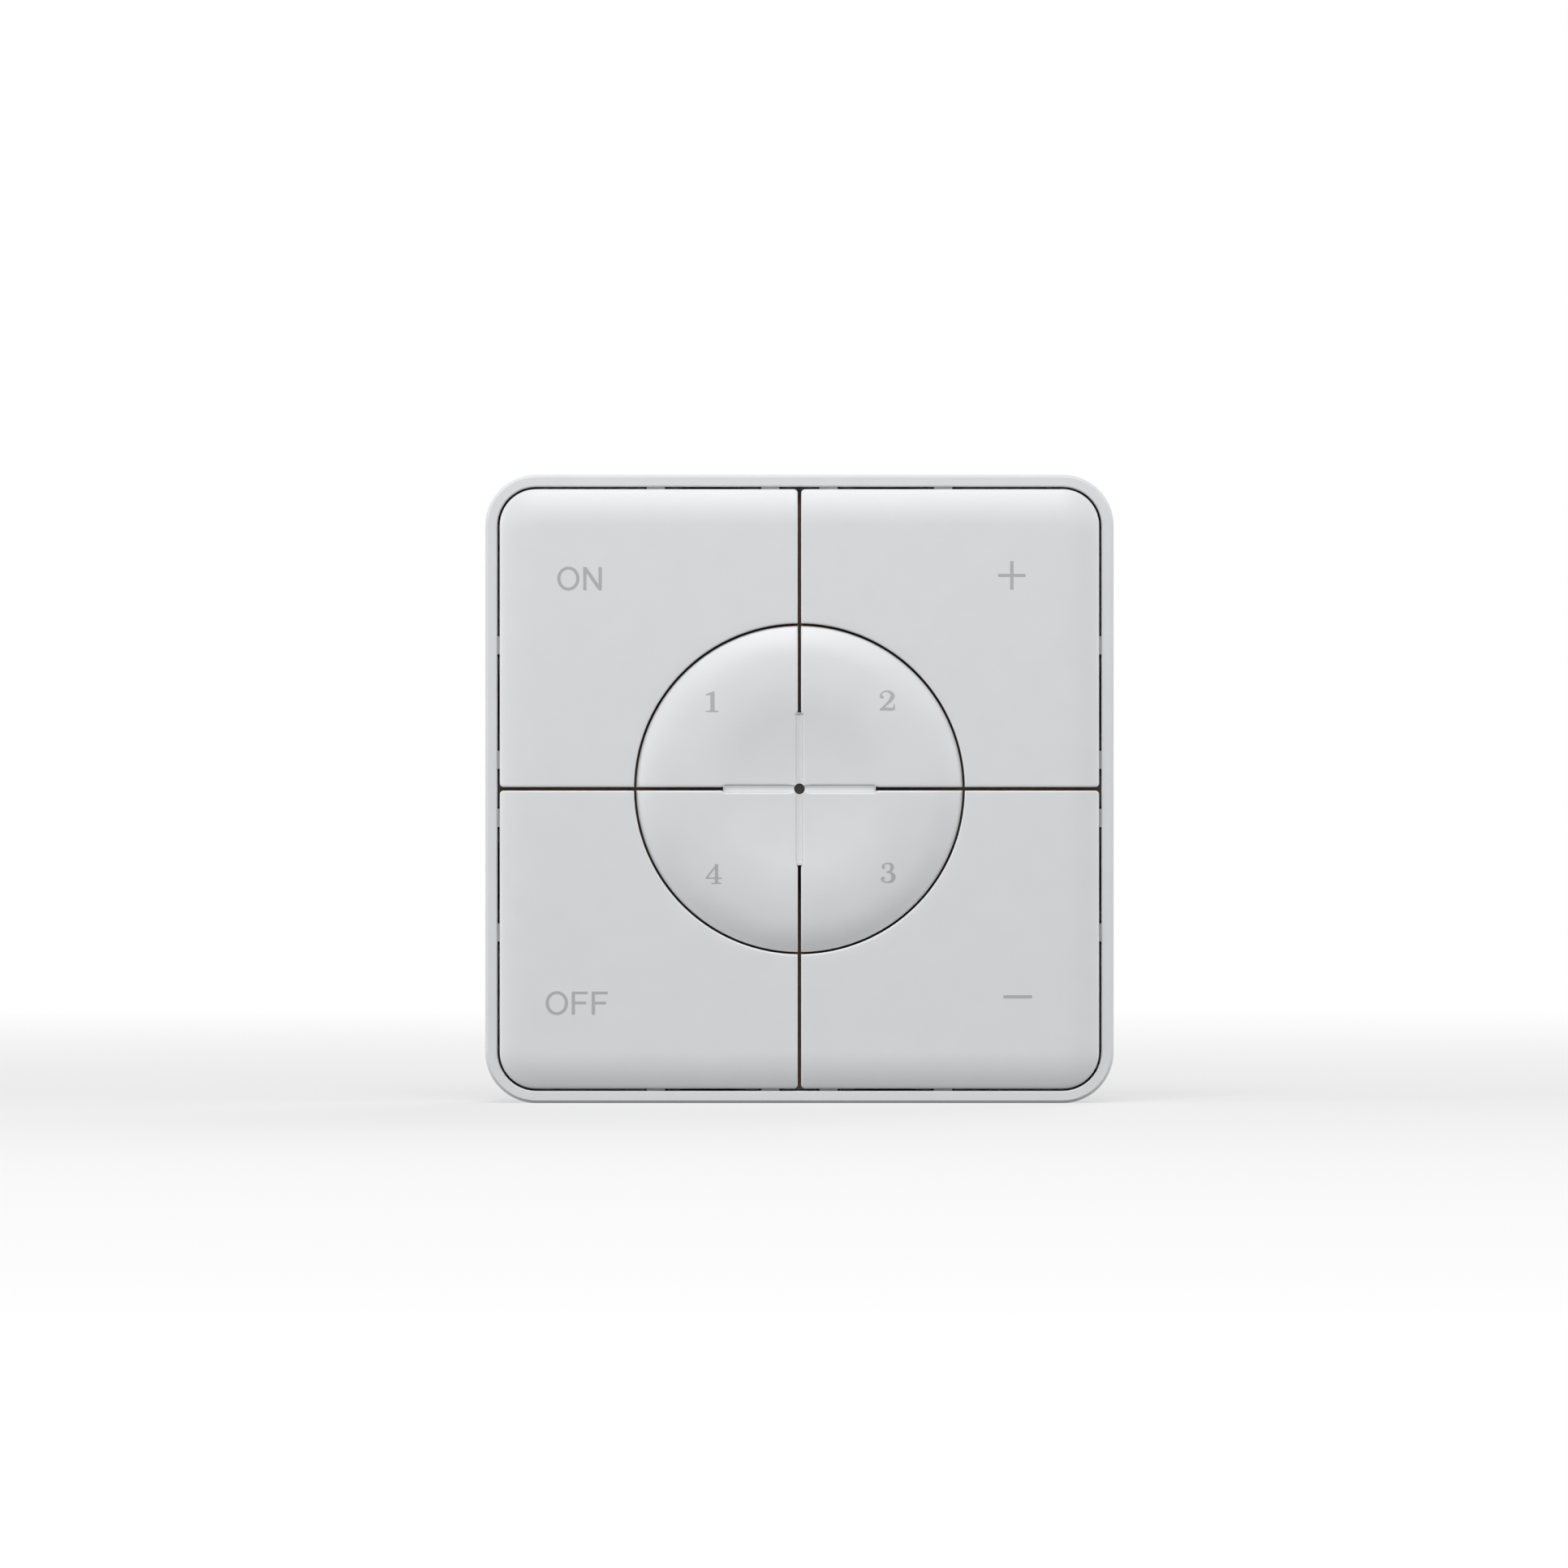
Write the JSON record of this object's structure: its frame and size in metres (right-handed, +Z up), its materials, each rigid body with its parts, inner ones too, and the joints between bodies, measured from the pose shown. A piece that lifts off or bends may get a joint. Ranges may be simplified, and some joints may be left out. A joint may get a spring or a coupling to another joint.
{
  "type": "wireless remote wall switch",
  "caption": "Square wall-hung wireless switch with pillowed corner keys around a dished, slotted disc of scene keys, on a screwed or taped wall plate.",
  "frame": {"origin": "centre of the wall plate's back face, which lies on the wall", "axes": "+Z up the wall, +X to the viewer's right, +Y into the wall; the keys face -Y"},
  "size_m": [0.08, 0.0148, 0.08],
  "materials": {
    "white_plastic": "satin",
    "plate_plastic": "satin",
    "housing_plastic": "satin",
    "dark_plastic": "matte",
    "cell_steel": "brushed",
    "contact_metal": "plated",
    "board_laminate": "gloss",
    "can_metal": "tinned",
    "led_resin": "gloss",
    "clear_plastic": "gloss",
    "switch_black": "matte",
    "plunger_plastic": "matte"
  },
  "bodies": {
    "base": {"wall_plate": "plate_plastic", "rear_housing": "housing_plastic", "battery_cover": "housing_plastic", "outer_frame": "white_plastic", "key_deck": "dark_plastic", "disc_hub": "white_plastic", "coin_cell": "cell_steel", "positive_contact": "contact_metal", "negative_contact": "contact_metal", "circuit_board": "board_laminate", "radio_module": "can_metal", "indicator_led": "led_resin", "light_pipe": "clear_plastic", "switch_on": "switch_black", "switch_plus": "switch_black", "switch_minus": "switch_black", "switch_off": "switch_black", "switch_1": "switch_black", "switch_2": "switch_black", "switch_3": "switch_black", "switch_4": "switch_black"},
    "corner_key_on": {"key_on": "white_plastic"},
    "switch_plunger_on": {"plunger_on": "plunger_plastic"},
    "corner_key_plus": {"key_plus": "white_plastic"},
    "switch_plunger_plus": {"plunger_plus": "plunger_plastic"},
    "corner_key_minus": {"key_minus": "white_plastic"},
    "switch_plunger_minus": {"plunger_minus": "plunger_plastic"},
    "corner_key_off": {"key_off": "white_plastic"},
    "switch_plunger_off": {"plunger_off": "plunger_plastic"},
    "disc_lobe_1": {"disc_key_1": "white_plastic"},
    "switch_plunger_1": {"plunger_1": "plunger_plastic"},
    "disc_lobe_2": {"disc_key_2": "white_plastic"},
    "switch_plunger_2": {"plunger_2": "plunger_plastic"},
    "disc_lobe_3": {"disc_key_3": "white_plastic"},
    "switch_plunger_3": {"plunger_3": "plunger_plastic"},
    "disc_lobe_4": {"disc_key_4": "white_plastic"},
    "switch_plunger_4": {"plunger_4": "plunger_plastic"}
  },
  "joints": [
    {"name": "press_on", "type": "slide", "parent": "base", "child": "corner_key_on", "axis": [0, 1, 0], "range_m": [0, 0.0005], "stiffness_N_per_m": 4000},
    {"name": "plunger_on_slide", "type": "slide", "parent": "base", "child": "switch_plunger_on", "axis": [0, 1, 0], "range_m": [0, 0.0006]},
    {"name": "press_plus", "type": "slide", "parent": "base", "child": "corner_key_plus", "axis": [0, 1, 0], "range_m": [0, 0.0005], "stiffness_N_per_m": 4000},
    {"name": "plunger_plus_slide", "type": "slide", "parent": "base", "child": "switch_plunger_plus", "axis": [0, 1, 0], "range_m": [0, 0.0006]},
    {"name": "press_minus", "type": "slide", "parent": "base", "child": "corner_key_minus", "axis": [0, 1, 0], "range_m": [0, 0.0005], "stiffness_N_per_m": 4000},
    {"name": "plunger_minus_slide", "type": "slide", "parent": "base", "child": "switch_plunger_minus", "axis": [0, 1, 0], "range_m": [0, 0.0006]},
    {"name": "press_off", "type": "slide", "parent": "base", "child": "corner_key_off", "axis": [0, 1, 0], "range_m": [0, 0.0005], "stiffness_N_per_m": 4000},
    {"name": "plunger_off_slide", "type": "slide", "parent": "base", "child": "switch_plunger_off", "axis": [0, 1, 0], "range_m": [0, 0.0006]},
    {"name": "tilt_1", "type": "hinge", "parent": "base", "child": "disc_lobe_1", "pos_m": [-0.00042, -0.0123, 0.00042], "axis": [-0.7071, 0, -0.7071], "range_deg": [0, 2], "stiffness_Nm_per_rad": 0.8},
    {"name": "plunger_1_slide", "type": "slide", "parent": "base", "child": "switch_plunger_1", "axis": [0, 1, 0], "range_m": [0, 0.0006]},
    {"name": "tilt_2", "type": "hinge", "parent": "base", "child": "disc_lobe_2", "pos_m": [0.00042, -0.0123, 0.00042], "axis": [-0.7071, 0, 0.7071], "range_deg": [0, 2], "stiffness_Nm_per_rad": 0.8},
    {"name": "plunger_2_slide", "type": "slide", "parent": "base", "child": "switch_plunger_2", "axis": [0, 1, 0], "range_m": [0, 0.0006]},
    {"name": "tilt_3", "type": "hinge", "parent": "base", "child": "disc_lobe_3", "pos_m": [0.00042, -0.0123, -0.00042], "axis": [0.7071, 0, 0.7071], "range_deg": [0, 2], "stiffness_Nm_per_rad": 0.8},
    {"name": "plunger_3_slide", "type": "slide", "parent": "base", "child": "switch_plunger_3", "axis": [0, 1, 0], "range_m": [0, 0.0006]},
    {"name": "tilt_4", "type": "hinge", "parent": "base", "child": "disc_lobe_4", "pos_m": [-0.00042, -0.0123, -0.00042], "axis": [0.7071, 0, -0.7071], "range_deg": [0, 2], "stiffness_Nm_per_rad": 0.8},
    {"name": "plunger_4_slide", "type": "slide", "parent": "base", "child": "switch_plunger_4", "axis": [0, 1, 0], "range_m": [0, 0.0006]}
  ],
  "couplings": [
    {"joint": "plunger_on_slide", "follows": "press_on", "ratio": 1},
    {"joint": "plunger_plus_slide", "follows": "press_plus", "ratio": 1},
    {"joint": "plunger_minus_slide", "follows": "press_minus", "ratio": 1},
    {"joint": "plunger_off_slide", "follows": "press_off", "ratio": 1},
    {"joint": "plunger_1_slide", "follows": "tilt_1", "m_per_rad": 0.0129},
    {"joint": "plunger_2_slide", "follows": "tilt_2", "m_per_rad": 0.0129},
    {"joint": "plunger_3_slide", "follows": "tilt_3", "m_per_rad": 0.0129},
    {"joint": "plunger_4_slide", "follows": "tilt_4", "m_per_rad": 0.0129}
  ]
}
